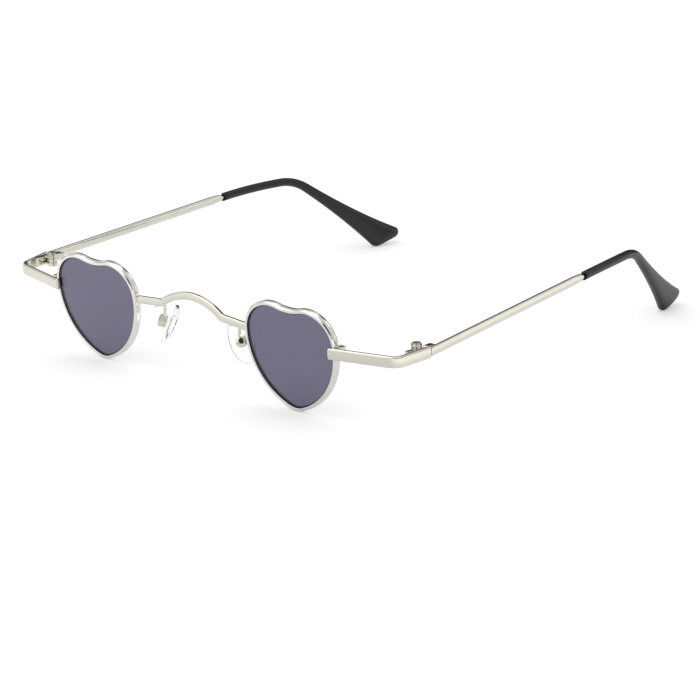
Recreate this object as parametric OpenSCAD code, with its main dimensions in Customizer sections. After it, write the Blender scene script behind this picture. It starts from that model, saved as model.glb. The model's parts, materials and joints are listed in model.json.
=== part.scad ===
// Small heart shaped sunglasses: wire rims, tinted lenses, arched bridge,
// flat folding temples with moulded tips, and clear nose pads.
// Millimetres. +Z is up, the lenses face -Y, the temples run towards +Y.
// +X is the wearer's left. The origin is on the surface the glasses stand on,
// below the middle of their bounding box.

/* [Heart outline] */
// Radius of each upper lobe, at the rim's inner edge
lobe_r = 8.3; // [7.5:0.1:9.5]
// Distance of each lobe's centre from the heart's middle line
lobe_offset = 6.05; // [5:0.05:7]
// Radius of the lower point
point_r = 5.7; // [4.5:0.1:6.5]
// Height from the point circle's centre up to the lobe centres
point_drop = 13.5; // [12:0.1:15]
// Radius of the long side curves
side_r = 19.4; // [17:0.1:24]
// Radius of the notch between the lobes
notch_r = 15.6; // [12:0.1:20]

/* [Rims and lenses] */
// Distance of each heart's middle line from the centre of the glasses
lens_x = 35; // [33:0.1:38]
// Width of the rim wire, seen from the front
rim_w = 1.05; // [0.9:0.05:1.6]
// Depth of the rim wire, front to back
rim_depth = 2.1; // [1.9:0.05:3]
// Depth of the groove that holds the lens
groove_depth = 0.5; // [0.3:0.05:0.6]
// Width of the groove that holds the lens
groove_w = 0.8; // [0.6:0.05:1]
// Thickness of the lens
lens_t = 1.4; // [1.2:0.05:1.8]
// Clearance all round the lens
lens_gap = 0.04; // [0.02:0.01:0.08]
// Angle by which the top of each rim leans forward
lens_tilt = 7.7; // [0:0.1:12]
// Angle by which the outer edge of each rim is turned back
lens_wrap = 0.9; // [0:0.1:5]

/* [Closing blocks] */
// Width of the block that closes the rim, sideways
block_w = 1.8; // [1.7:0.1:3.2]
// Depth of the block, front to back
block_depth = 1.8; // [1.7:0.1:2.2]
// Height of the upper half of the block
block_top_h = 1.3; // [1.1:0.1:3]
// Height of the lower half of the block
block_low_h = 1.8; // [1.4:0.1:2.4]
// Distance of the rim's split below the lobe centres
split_drop = 0.3; // [0:0.1:1]
// Width of the rim's split
split_gap = 0.16; // [0.1:0.02:0.3]
// How far the front of the block lies behind the front of the rim
block_setback = 0.5; // [0.4:0.1:1]
// Radius of the closing screw's shank
closing_screw_r = 0.4; // [0.35:0.05:0.45]
// Radius of the closing screw's head
closing_head_r = 0.7; // [0.6:0.05:0.75]
// Height of the closing screw's head
closing_head_h = 0.4; // [0.3:0.05:0.5]

/* [Bridge] */
// Height of the bridge bar, seen from the front
bridge_h = 2.05; // [1.6:0.05:2.6]
// Depth of the bridge bar, front to back
bridge_depth = 1.4; // [1.2:0.05:2]
// How far the front of the bridge lies behind the front of the rims
bridge_setback = 0.3; // [0.1:0.05:0.5]
// Height of the middle of the bridge arch above the lobe centres
arch_rise = 4.7; // [3.5:0.1:6]
// Radius of the arch, at its middle line
arch_r = 17.4; // [15:0.1:20]
// Half the width between the corners where the arch meets its two stubs
arch_half_w = 10.7; // [9:0.1:12]
// Height of the stubs' middle line above the lobe centres, at the rims
stub_rise = 0.2; // [-1:0.1:1.5]

/* [Nose pads] */
// Length of a nose pad
pad_len = 12.6; // [11:0.1:15]
// Width of a nose pad
pad_w = 6.6; // [6:0.1:8]
// Thickness of a nose pad
pad_t = 2.3; // [2:0.1:3]
// Distance of each pad's pivot from the centre of the glasses
pad_x = 14.2; // [13:0.1:16]
// Distance of each pad's pivot behind the front of the rims
pad_y = 4.8; // [4:0.1:6]
// Distance of each pad's pivot below the lobe centres
pad_drop = 5.6; // [5:0.1:8]
// Angle by which each pad's back is turned outwards
pad_splay = 40; // [30:1:50]
// Angle by which each pad's back is turned up
pad_rake = 20; // [10:1:30]
// Angle by which the lower end of each pad is swung outwards
pad_cant = 25; // [15:1:35]
// Thickness of the stiff insert moulded into the pad
insert_t = 0.6; // [0.4:0.05:0.8]
// Length of the insert
insert_len = 5; // [4:0.1:7]
// Width of the insert
insert_w = 3; // [2.4:0.1:4]
// Thickness of the insert's lug, which the pad screw holds
lug_t = 1; // [0.8:0.05:1.2]
// Width of the lug
lug_w = 1.3; // [1.2:0.05:1.4]

/* [Pad boxes and arms] */
// Outer radius of the round box that holds the pad
box_r = 1.7; // [1.65:0.05:2.2]
// Wall of the round box
box_wall = 0.35; // [0.3:0.05:0.45]
// Depth of the box in front of the pad's pivot
box_front = 1.1; // [1.1:0.05:1.4]
// Depth of the box behind the pad's pivot
box_back = 0.75; // [0.65:0.05:0.9]
// Distance from the pad's pivot to the back of the pad
pad_standoff = 1.2; // [1.15:0.05:1.5]
// Radius of the pad screw's shank
pad_screw_r = 0.35; // [0.3:0.05:0.4]
// Radius of the pad screw's head
pad_head_r = 0.6; // [0.5:0.05:0.7]
// Height of the pad screw's head
pad_head_h = 0.3; // [0.25:0.05:0.5]
// Radius of the pad arm's wire
arm_r = 0.45; // [0.4:0.05:0.55]
// Radius of the pad arm's bend, at its middle line
arm_bend_r = 1.2; // [1:0.1:1.5]
// Distance of the pad arm's root below the lobe centres
arm_root_drop = 0.2; // [0:0.1:0.5]

/* [Endpieces] */
// Distance of the endpiece's inner end from the centre of the glasses
end_x = 48.8; // [47:0.1:49]
// Distance of the endpiece's inner end in front of the rim's front
end_proud = 1.25; // [1.1:0.05:1.5]
// Width of the glasses at the temple hinges, over all
front_w = 140; // [136:0.5:146]
// Thickness of the endpiece bar
end_t = 1.37; // [1.2:0.01:1.6]
// Height of the endpiece bar
end_h = 3.1; // [2.6:0.05:3.4]
// Distance of the endpiece's middle line below the lobe centres, at its inner end
end_drop = 0.75; // [0:0.05:1.2]
// Angle by which the front bar sweeps back
sweep = 13.5; // [10:0.1:17]
// Angle by which the bent part of the bar spreads outwards
splay = 9; // [5:0.1:12]
// Outer radius of the bar's bend
corner_r = 4; // [3:0.1:5]
// Length of the bent part of the bar, from the corner to the joint
side_len = 11.5; // [10.5:0.1:14]
// Angle by which the endpieces and temples climb towards the back
pitch = 3.6; // [2:0.1:5]

/* [Hinges] */
// Distance from the bars' inner faces to the hinge screw's axis
hinge_offset = 2.7; // [2.6:0.05:3.2]
// Distance of the hinge screw's axis in front of the joint
hinge_ahead = 1.2; // [0.8:0.1:1.5]
// Radius of the hinge barrels
barrel_r = 1.45; // [1.35:0.05:1.6]
// Height of the whole hinge barrel
barrel_h = 3.4; // [3:0.1:4]
// Height of the middle barrel, which turns with the temple
middle_h = 1.24; // [1:0.02:1.4]
// Thickness of the hinge leaves against the bars
leaf_t = 1; // [0.8:0.05:1.1]
// Length of the front leaf's plate
front_leaf_len = 5.4; // [4.5:0.1:7]
// Height of the front leaf
front_leaf_h = 2.6; // [2.2:0.1:2.8]
// Length of the slot in the front leaf, from the hinge screw's axis
slot_len = 1.5; // [1.4:0.05:3]
// Length of the rear leaf
rear_leaf_len = 5; // [4:0.1:7]
// Height of the rear leaf
rear_leaf_h = 1.7; // [1.5:0.1:2.2]
// Radius of the hinge screw's shank
hinge_screw_r = 0.6; // [0.5:0.05:0.7]
// Radius of the hinge screw's head
hinge_head_r = 1.1; // [1:0.05:1.2]
// Height of the hinge screw's head
hinge_head_h = 0.45; // [0.35:0.05:0.6]
// Running clearance of the turning barrel, on its radius
hinge_gap = 0.04; // [0.02:0.01:0.08]
// Gap between the endpiece and the temple
joint_gap = 0.15; // [0.1:0.01:0.25]

/* [Temples] */
// Length of the flat temple bar, from the joint to its neck
bar_len = 63; // [55:0.5:70]
// Length over which the bar narrows to its neck
neck_len = 7; // [5:0.1:9]
// Height of the temple bar
bar_h = 2.43; // [2:0.01:3]
// Thickness of the temple bar
bar_t = 1.31; // [1.1:0.01:1.5]
// Height of the neck
neck_h = 1.3; // [1.2:0.05:1.6]
// Radius of the core wire inside the moulded tip
core_r = 0.6; // [0.5:0.05:0.65]
// Length of the core wire inside the moulded tip
core_len = 12; // [8:0.5:13]
// Angle by which the temple turns inwards
toe_in = 2.5; // [1:0.1:4]

/* [Temple tips] */
// Height of the sleeve part of the tip
sleeve_h = 2.5; // [2.3:0.05:3]
// Thickness of the sleeve part of the tip
sleeve_t = 2.2; // [2.1:0.05:2.6]
// Length of the sleeve, up to the bend over the ear
sleeve_len = 23.7; // [20:0.1:27]
// Angle by which the sleeve drops at its rear end
sleeve_drop = 1; // [0:0.5:4]
// Angle by which the sleeve turns inwards at its rear end
sleeve_toe_in = 9.2; // [6:0.2:11]
// Radius of the tip's bend over the ear
ear_r = 18; // [12:0.5:22]
// Angle by which the tip drops behind the ear
ear_drop = 34; // [28:0.5:45]
// Angle by which the dropped part turns inwards
ear_toe_in = 16; // [8:0.5:22]
// Width of the paddle near its end
paddle_w = 9; // [7.5:0.1:10.5]
// Thickness of the paddle
paddle_t = 3.1; // [2.4:0.1:3.6]
// Angle by which the paddle's end edge is cut back along the floor
paddle_cut = 52; // [36:1:58]
// Angle by which the paddle's upper edge leans outwards
paddle_lean = 11; // [0:1:16]
// Radius of the paddle's lower corner
paddle_round = 2.8; // [2:0.1:3.4]
// Radius of the paddle's upper corner
paddle_tip_r = 1.6; // [1.2:0.1:2]
// Angle at which the upper edge still widens at its end
upper_flare = 9.4; // [5:0.2:14]
// Angle at which the lower edge still widens at its end
lower_flare = 9.6; // [5:0.2:14]

/* [Fits] */
// Clearance of screws in their own holes, on the radius
screw_gap = 0.03; // [0.02:0.01:0.05]
// Width of the screwdriver slots
driver_w = 0.25; // [0.2:0.05:0.35]

/* [Hidden] */

metal = "gainsboro";
tint = "slategray";
black = "#303030";
clear = "lightcyan";

// One overrun serves every cut
over = 1.5*rim_depth;
fine = 48;
arc_steps = 10;
ring_sides = 16;

// Places worked out from the sizes above
lens_z = (point_drop + point_r + rim_w)*cos(lens_tilt);
end_z = lens_z - end_drop;
block_x = lobe_offset + lobe_r + rim_w + block_w/2;
block_y = block_setback + block_depth/2;
split_z = -split_drop;

// Top view of the endpiece: unit vectors along and across its two straight parts
function turn(v, a) = [v[0]*cos(a) - v[1]*sin(a), v[0]*sin(a) + v[1]*cos(a)];
function to_3d(p, z) = [p[0], p[1], z];
front_across = turn([0, 1], sweep);
side_across = turn([-1, 0], -splay);
front_along = turn([1, 0], sweep);
side_along = turn([0, 1], -splay);
mitre = (splay - toe_in)/2;
mitre_across = turn([-1, 0], -mitre);
mitre_along = turn([0, 1], -mitre);
end_start = [end_x, -end_proud];
// Where the outer faces of the two straight parts meet
corner_reach = (front_w/2 - end_x - side_len*sin(splay))/cos(sweep);
corner = end_start + corner_reach*front_along;
joint_out = corner + side_len*side_along;
corner_bias = (front_across + side_across)/(1 + front_across*side_across);
joint_in = joint_out + end_t/cos(splay - mitre)*mitre_across;
hinge_xy = joint_in + hinge_offset/cos(splay - mitre)*mitre_across - hinge_ahead*mitre_along;
// Distance from the hinge screw's axis to the inner face of each bar
front_reach = hinge_offset - hinge_ahead*sin(splay - mitre);
rear_reach = hinge_offset + hinge_ahead*sin(splay - mitre) + end_t - bar_t;
joint_z = end_z + (joint_out[1] + end_proud)*tan(pitch);

// The temple's own frame starts at the outer face of its bar, at the joint
sleeve_start = bar_len + neck_len;
function heading(drop, toe) = [-sin(toe)*cos(drop), cos(toe)*cos(drop), -sin(drop)];
function upright(drop, toe) = [-sin(toe)*sin(drop), cos(toe)*sin(drop), cos(drop)];
function sideways(toe) = [cos(toe), sin(toe), 0];
bar_mid = to_3d(joint_out, joint_z) - bar_t/2*sideways(toe_in);
sleeve_begin = bar_mid + sleeve_start*heading(-pitch, toe_in);

// The sleeve curves gently, then the bend turns down and inwards, both in equal steps
sleeve_steps = 6;
ear_steps = 8;
ear_len = ear_r*(ear_drop - sleeve_drop)*PI/180;
function mix(a, b, s) = a + (b - a)*s;
function sleeve_angle(i) = mix(-pitch, sleeve_drop, i/sleeve_steps);
function sleeve_toe(i) = mix(toe_in, sleeve_toe_in, i/sleeve_steps);
function ear_angle(i) = mix(sleeve_drop, ear_drop, i/ear_steps);
function ear_toe(i) = mix(sleeve_toe_in, ear_toe_in, i/ear_steps);
sleeve_path = [for (i = 0, p = sleeve_begin; i <= sleeve_steps;
    p = p + sleeve_len/sleeve_steps*heading(sleeve_angle(i + 0.5), sleeve_toe(i + 0.5)), i = i + 1) p];
ear_path = [for (i = 0, p = sleeve_path[sleeve_steps]; i <= ear_steps;
    p = p + ear_len/ear_steps*heading(ear_angle(i + 0.5), ear_toe(i + 0.5)), i = i + 1) p];
ear_end = ear_path[ear_steps];

// The paddle's plan in its own plane, [along, up], from the centre of its lower corner
function smooth(s) = s*s*(3 - 2*s);
lower_corner_c = [0, paddle_round - paddle_w/2];
corner_span = (paddle_w - paddle_round - paddle_tip_r)/cos(paddle_cut);
upper_corner_c = lower_corner_c + corner_span*[sin(paddle_cut), cos(paddle_cut)];
// Direction in which the end edge faces
end_facing = asin((paddle_round - paddle_tip_r)/corner_span) - paddle_cut;
function corner_point(c, r, from, s) =
    let (a = mix(from, end_facing, s)) c + r*[cos(a), sin(a)];
function upper_corner(s) = corner_point(upper_corner_c, paddle_tip_r, 90 + upper_flare, s);
function lower_corner(s) = corner_point(lower_corner_c, paddle_round, -90 - lower_flare, s);
function lean_up(drop, toe, lean) = cos(lean)*upright(drop, toe) + sin(lean)*sideways(toe);
function lean_side(drop, toe, lean) = cos(lean)*sideways(toe) - sin(lean)*upright(drop, toe);
// Shape of a ring: 1 is an ellipse, less is a flatter oval
sleeve_oval_share = 1;
paddle_oval_share = 0.66;
function signed_power(v, e) = sign(v)*pow(abs(v), e);
function tip_ring(c, half_up, side, t, e) = [for (i = [0:ring_sides - 1]) let (a = i*360/ring_sides)
    c + t/2*signed_power(cos(a), e)*side + signed_power(sin(a), e)*half_up];
// A ring across the straight part of the paddle, between an upper and a lower point of its plan
function paddle_ring(start, high, low, lean, t, e) =
    let (out = heading(ear_drop, ear_toe_in), up = lean_up(ear_drop, ear_toe_in, lean),
        mid = (high + low)/2, half = (high - low)/2)
    tip_ring(start + mid[0]*out + mid[1]*up, half[0]*out + half[1]*up,
        lean_side(ear_drop, ear_toe_in, lean), t, e);
function cap_ring(start, s) = paddle_ring(start, upper_corner(s), lower_corner(s), paddle_lean,
    paddle_t*sqrt(cos(90*s)), paddle_oval_share);
paddle_steps = 12;
cap_steps = 6;
function cap_rings(start) = [for (i = [0:cap_steps]) cap_ring(start, i/(cap_steps + 0.25))];
cap_points = [for (ring = cap_rings([0, 0, 0])) each ring];
cap_low = min([for (p = cap_points) p[2]]);
cap_back = max([for (p = cap_points) p[1]]);

// The paddle's length follows from the floor that its lower corner rests on
paddle_len = (ear_end[2] + cap_low)/sin(ear_drop);
cap_start = ear_end + paddle_len*heading(ear_drop, ear_toe_in);

// The paddle's far end sets the back of the glasses, and the endpieces' ends the front
back_y = cap_start[1] + cap_back;
centre_y = (back_y - max(end_proud, (lobe_r + rim_w)*sin(lens_tilt)))/2;

// Heart outline, grown outwards by a distance, from the notch round to the point
notch_z = sqrt(pow(lobe_r + notch_r, 2) - pow(lobe_offset, 2));
lobe_c = [lobe_offset, 0];
point_c = [0, -point_drop];
notch_c = [0, notch_z];
// Centre of the side curve, which touches the lobe and the point circle from outside them
between = norm(lobe_c - point_c);
lobe_reach = side_r - lobe_r;
point_reach = side_r - point_r;
side_near = (pow(lobe_reach, 2) - pow(point_reach, 2) + pow(between, 2))/(2*between);
side_dir = (point_c - lobe_c)/between;
side_c = lobe_c + side_near*side_dir
    + sqrt(pow(lobe_reach, 2) - pow(side_near, 2))*turn(side_dir, -90);
function angle_of(v) = atan2(v[1], v[0]);
notch_end = angle_of(lobe_c - notch_c);
lobe_end = angle_of(lobe_c - side_c);
point_end = angle_of(point_c - side_c);
function arc(c, r, from, to, steps = arc_steps) =
    [for (i = [0:steps - 1]) c + r*[cos(from + (to - from)*i/steps), sin(from + (to - from)*i/steps)]];
function half_heart(d) = concat(
    arc(notch_c, notch_r - d, -90, notch_end, arc_steps/2),
    arc(lobe_c, lobe_r + d, notch_end + 180, lobe_end, 2*arc_steps),
    arc(side_c, side_r + d, lobe_end, point_end),
    arc(point_c, point_r + d, point_end, -90, arc_steps/2),
    [point_c - [0, point_r + d]]);
function mirrored_back(points) =
    [for (i = [len(points) - 2:-1:1]) [-points[i][0], points[i][1]]];
function heart(d) = concat(half_heart(d), mirrored_back(half_heart(d)));

// Places on one side; the wearer's left as drawn, the right as its mirror image
module left() {
    translate([0, -centre_y, 0]) children();
}
module right() {
    mirror([1, 0, 0]) left() children();
}
module in_rim() {
    translate([lens_x, 0, lens_z]) rotate([0, 0, lens_wrap]) rotate([lens_tilt, 0, 0]) children();
}
// A flat heart from one depth to another behind the front of the rim
module heart_slab(d, from, to) {
    rotate([90, 0, 0]) translate([0, 0, -to]) linear_extrude(to - from) polygon(heart(d));
}
// A solid from rings of equally many points, closed at both ends
module loft(rings) {
    n = len(rings[0]);
    last = len(rings) - 1;
    polyhedron(
        points = [for (ring = rings) for (p = ring) p],
        faces = concat(
            [for (k = [0:last - 1]) for (i = [0:n - 1]) let (j = (i + 1)%n)
                each [[k*n + i, k*n + j, k*n + n + i], [k*n + j, k*n + n + j, k*n + n + i]]],
            [for (i = [1:n - 2]) [0, i + 1, i]],
            [for (i = [1:n - 2]) [last*n, last*n + i, last*n + i + 1]]));
}
// A slotted screw standing on the origin: shank down, head up
module screw(shank_r, shank_len, head_r, head_h) {
    difference() {
        union() {
            translate([0, 0, -shank_len]) cylinder(h = shank_len + head_h/2, r = shank_r, $fn = fine);
            cylinder(h = head_h, r = head_r, $fn = fine);
        }
        translate([-head_r - over, -driver_w/2, head_h/2]) cube([2*(head_r + over), driver_w, over]);
    }
}

// Rims and lenses
module rim() {
    color(metal) in_rim() difference() {
        heart_slab(rim_w, 0, rim_depth);
        heart_slab(0, -over, rim_depth + over);
        heart_slab(groove_depth, (rim_depth - groove_w)/2, (rim_depth + groove_w)/2);
        translate([lobe_offset, -over, split_z - split_gap/2])
            cube([lobe_r + rim_w + over, rim_depth + 2*over, split_gap]);
    }
}
module lens() {
    color(tint) in_rim() {
        heart_slab(-lens_gap, (rim_depth - lens_t)/2, (rim_depth + lens_t)/2);
        heart_slab(groove_depth - lens_gap,
            (rim_depth - groove_w)/2 + lens_gap, (rim_depth + groove_w)/2 - lens_gap);
    }
}

// Closing blocks: two halves on the rim's two ends, drawn together by a screw from above
module block_half(z, h, hole_r) {
    difference() {
        translate([block_x - 1.5*block_w, block_setback, z]) cube([2*block_w, block_depth, h]);
        heart_slab(rim_w, -over, rim_depth + over);
        translate([block_x, block_y, z - over]) cylinder(h = h + 2*over, r = hole_r, $fn = fine);
        translate([block_x, block_y, block_top - closing_head_h])
            cylinder(h = over, r = closing_head_r + 2*screw_gap, $fn = fine);
    }
}
block_top = split_z + split_gap/2 + block_top_h;
module closing_block() {
    color(metal) in_rim() {
        block_half(split_z + split_gap/2, block_top_h, closing_screw_r + 2*screw_gap);
        block_half(split_z - split_gap/2 - block_low_h, block_low_h, closing_screw_r + screw_gap);
    }
}
module closing_screw() {
    color(metal) in_rim() translate([block_x, block_y, block_top - closing_head_h])
        screw(closing_screw_r, block_top_h - closing_head_h + split_gap + block_low_h,
            closing_head_r, closing_head_h);
}

// Bridge: an arch between two stubs, each fitted to its rim
arch_z = lens_z + arch_rise - arch_r;
arch_turn = asin(arch_half_w/arch_r);
stub_start = [arch_half_w, arch_z + arch_r*cos(arch_turn)];
stub_end = [lens_x - lobe_offset - lobe_r, lens_z + stub_rise];
stub_turn = angle_of(stub_end - stub_start);
stub_up = turn([0, bridge_h/2], stub_turn);
// Where the arch's two edges meet the stub's two edges
function stub_meets(r, side) =
    let (c = [0, arch_z] - stub_start - side*stub_up, along = turn([1, 0], stub_turn),
        near = c*along, away = sqrt(r*r - c*c + near*near))
    stub_start + side*stub_up + (near + away)*along;
function arch_half(r, side) =
    let (p = stub_meets(r, side), top = 90, low = angle_of(p - [0, arch_z]))
    concat(arc([0, arch_z], r, top, low), [p]);
module bridge() {
    upper = concat(arch_half(arch_r + bridge_h/2, 1), [stub_end + stub_up]);
    lower = concat(arch_half(arch_r - bridge_h/2, -1), [stub_end - stub_up]);
    half = concat(upper, [for (i = [len(lower) - 1:-1:0]) lower[i]]);
    color(metal) translate([0, -centre_y, 0]) difference() {
        rotate([90, 0, 0]) translate([0, 0, -bridge_setback - bridge_depth])
            linear_extrude(bridge_depth) polygon(concat(half, mirrored_back(half)));
        in_rim() heart_slab(rim_w, -over, rim_depth + over);
        mirror([1, 0, 0]) in_rim() heart_slab(rim_w, -over, rim_depth + over);
    }
}

// Nose pads: each hangs by its insert's lug on a screw across a round box
pad_z = lens_z - pad_drop;
module in_pad() {
    translate([pad_x, pad_y, pad_z]) rotate([0, 0, pad_splay]) rotate([-pad_rake, 0, 0])
        rotate([0, -pad_cant, 0]) children();
}
// Share of the pad's outline and place through its thickness, ring by ring
pad_rise_shares = [0, 0.1, 0.3, 0.62, 0.86, 1];
pad_size_shares = [0.82, 0.94, 1, 0.9, 0.66, 0.25];
// How much wider the lower end of the pad is than the upper
pad_egg_share = 0.14;
function pad_ring(k) =
    [for (i = [0:ring_sides*1.5 - 1]) let (a = i*360/(ring_sides*1.5)) [
        pad_w/2*pad_size_shares[k]*cos(a)*(1 - pad_egg_share*sin(a)),
        pad_standoff + pad_t*pad_rise_shares[k],
        pad_len/2*pad_size_shares[k]*sin(a)]];
insert_y = pad_standoff + (pad_t - insert_t)/3;
module insert_shape(gap) {
    translate([-insert_w/2 - gap, insert_y - gap, -insert_len/2 - gap])
        cube([insert_w + 2*gap, insert_t + 2*gap, insert_len + 2*gap]);
    translate([-lug_t/2 - gap, 0, -lug_w/2 - gap]) cube([lug_t + 2*gap, insert_y + gap, lug_w + 2*gap]);
}
module nose_pad() {
    color(clear, 0.4) in_pad() difference() {
        loft([for (k = [0:len(pad_rise_shares) - 1]) pad_ring(k)]);
        insert_shape(lens_gap);
    }
}
module pad_insert() {
    color(clear) in_pad() difference() {
        union() {
            insert_shape(0);
            translate([-lug_t/2, 0, 0]) rotate([0, 90, 0]) cylinder(h = lug_t, r = lug_w/2, $fn = fine);
        }
        translate([-lug_t/2 - over, 0, 0]) rotate([0, 90, 0])
            cylinder(h = lug_t + 2*over, r = pad_screw_r + hinge_gap, $fn = fine);
    }
}
module pad_box() {
    color(metal) in_pad() difference() {
        translate([0, box_back, 0]) rotate([90, 0, 0])
            cylinder(h = box_front + box_back, r = box_r, $fn = fine);
        translate([0, box_back + over, 0]) rotate([90, 0, 0])
            cylinder(h = box_front + box_back + over - box_wall, r = box_r - box_wall, $fn = fine);
        translate([-box_r - over, 0, 0]) rotate([0, 90, 0])
            cylinder(h = 2*(box_r + over), r = pad_screw_r + screw_gap, $fn = fine);
    }
}
module pad_screw() {
    color(metal) in_pad() translate([box_r, 0, 0]) rotate([0, 90, 0])
        screw(pad_screw_r, 2*box_r, pad_head_r, pad_head_h);
}

// Pad arm: a wire from the back of the bridge stub, bent down onto the pad's box
arm_x = pad_x - box_r*sin(pad_cant);
arm_root_z = lens_z - arm_root_drop;
arm_root_y = bridge_setback + bridge_depth;
arm_reach = pad_y - arm_root_y - arm_bend_r;
arm_hang = arm_root_z - arm_bend_r - pad_z - box_r*cos(pad_cant)/2;
module pad_arm() {
    color(metal) difference() {
        translate([arm_x, arm_root_y, arm_root_z]) {
            rotate([-90, 0, 0]) cylinder(h = arm_reach, r = arm_r, $fn = fine);
            translate([0, arm_reach, -arm_bend_r]) {
                rotate([90, 0, 90]) rotate_extrude(angle = 90, $fn = 2*fine)
                    translate([arm_bend_r, 0]) circle(r = arm_r, $fn = fine);
                translate([0, arm_bend_r, -arm_hang]) cylinder(h = arm_hang, r = arm_r, $fn = fine);
            }
        }
        in_pad() translate([0, box_back, 0]) rotate([90, 0, 0])
            cylinder(h = box_front + box_back, r = box_r, $fn = fine);
    }
}

// Endpieces: one flat bar each, from the front of the rim, round the corner, to the hinge
module endpiece_outline() {
    bend_c = corner + corner_r*corner_bias;
    from = angle_of(-front_across);
    to = angle_of(-side_across);
    inner = arc(bend_c, corner_r - end_t, to, from);
    polygon(concat([end_start], arc(bend_c, corner_r, from, to), [bend_c - corner_r*side_across],
        [joint_out, joint_in], inner, [bend_c - (corner_r - end_t)*front_across],
        [end_start + end_t*front_across]));
}
module endpiece() {
    color(metal) difference() {
        translate([0, -end_proud, end_z]) rotate([pitch, 0, 0]) translate([0, end_proud, -end_h/2])
            linear_extrude(end_h) endpiece_outline();
        in_rim() {
            heart_slab(rim_w, 0, rim_depth);
            translate([0, block_setback, split_z - split_gap/2 - block_low_h - over])
                cube([block_x + block_w/2, block_depth, block_low_h + split_gap + block_top_h + 2*over]);
        }
    }
}

// Hinges: a front leaf with two slotted barrels, a rear leaf with one, and a screw through all
module at_hinge(a) {
    translate(to_3d(hinge_xy, joint_z)) rotate([0, 0, -a]) children();
}
module barrel(h) {
    translate([0, 0, -h/2]) cylinder(h = h, r = barrel_r, $fn = fine);
}
module hinge_bore(r) {
    translate([0, 0, -barrel_h]) cylinder(h = 2*barrel_h, r = r, $fn = fine);
}
// Gap above and below the turning barrel
barrel_gap = (barrel_h - middle_h)/2*hinge_gap;
slot_h = middle_h + 2*barrel_gap;
module front_hinge_leaf() {
    color(metal) at_hinge(splay) difference() {
        union() {
            translate([front_reach - leaf_t, -front_leaf_len, -front_leaf_h/2])
                cube([leaf_t, front_leaf_len, front_leaf_h]);
            translate([0, -slot_len, -front_leaf_h/2]) cube([front_reach, slot_len, front_leaf_h]);
            barrel(barrel_h);
        }
        translate([-barrel_r - over, -slot_len - over, -slot_h/2])
            cube([barrel_r + over + front_reach - leaf_t, slot_len + 2*over, slot_h]);
        hinge_bore(hinge_screw_r + screw_gap);
    }
}
// Where the rear leaf's plate starts, behind the front leaf's barrels
rear_leaf_start = max(barrel_r, hinge_ahead) + joint_gap;
module rear_hinge_leaf() {
    color(metal) at_hinge(-toe_in) difference() {
        union() {
            barrel(middle_h);
            translate([0, 0, -middle_h/2]) cube([barrel_r, rear_leaf_start + leaf_t, middle_h]);
            translate([rear_reach - barrel_r - leaf_t, rear_leaf_start, -rear_leaf_h/2])
                cube([barrel_r + leaf_t, rear_leaf_len - rear_leaf_start, rear_leaf_h]);
        }
        hinge_bore(hinge_screw_r + hinge_gap);
    }
}
module hinge_screw() {
    color(metal) at_hinge(mitre) translate([0, 0, barrel_h/2])
        screw(hinge_screw_r, barrel_h, hinge_head_r, hinge_head_h);
}

// Temples: a flat bar that narrows to a neck, and a round core wire inside the tip
module in_temple() {
    translate(to_3d(joint_out, joint_z)) rotate([0, 0, toe_in]) rotate([pitch, 0, 0]) children();
}
module temple() {
    color(metal) difference() {
        in_temple() {
            rotate([90, 0, -90]) linear_extrude(bar_t) polygon([
                [over, -bar_h/2], [-bar_len, -bar_h/2], [-sleeve_start, -neck_h/2],
                [-sleeve_start, neck_h/2], [-bar_len, bar_h/2], [over, bar_h/2]]);
            translate([-bar_t/2, sleeve_start - neck_len/2, 0]) rotate([-90, 0, 0])
                cylinder(h = neck_len/2 + core_len, r = core_r, $fn = fine);
        }
        translate(to_3d(joint_out, joint_z)) rotate([0, 0, -mitre])
            translate([-2*bar_t - over, -3*over + joint_gap, -bar_h])
                cube([2*(bar_t + over), 3*over, 2*bar_h]);
    }
}

// Temple tips: a sleeve over the core wire that bends over the ear and widens to a paddle
// Both edges of the paddle start to widen where the bend starts
upper_reach = ear_len + paddle_len + upper_corner(0)[0];
lower_reach = ear_len + paddle_len + lower_corner(0)[0];
widen_len = (upper_reach + lower_reach)/2;
function edge(s, from, to, slope) = mix(from, to, smooth(s)) + slope*(s*s*s - s*s);
function upper_edge(d) =
    edge(d/upper_reach, sleeve_h/2, upper_corner(0)[1], tan(upper_flare)*upper_reach);
function lower_edge(d) =
    edge(d/lower_reach, -sleeve_h/2, lower_corner(0)[1], -tan(lower_flare)*lower_reach);
function tip_t(d) = mix(sleeve_t, paddle_t, d/widen_len);
function tip_oval_share(d) = mix(sleeve_oval_share, paddle_oval_share, d/widen_len);
function tip_lean(d) = paddle_lean*d/widen_len;
function sleeve_ring(c, drop, toe, size) = tip_ring(c, sleeve_h/2*size*upright(drop, toe),
    sideways(toe), sleeve_t*size, sleeve_oval_share);
function ear_ring(i) =
    let (d = ear_len*i/ear_steps, high = upper_edge(d), low = lower_edge(d),
        up = lean_up(ear_angle(i), ear_toe(i), tip_lean(d)))
    tip_ring(ear_path[i] + (high + low)/2*up, (high - low)/2*up,
        lean_side(ear_angle(i), ear_toe(i), tip_lean(d)), tip_t(d), tip_oval_share(d));
function widening_ring(s) =
    let (d = mix(ear_len, widen_len, s), high_d = d + (upper_reach - widen_len)*smooth(s),
        low_d = d + (lower_reach - widen_len)*smooth(s))
    paddle_ring(ear_end, [high_d - ear_len, upper_edge(high_d)], [low_d - ear_len, lower_edge(low_d)],
        tip_lean(d), tip_t(d), tip_oval_share(d));
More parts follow.
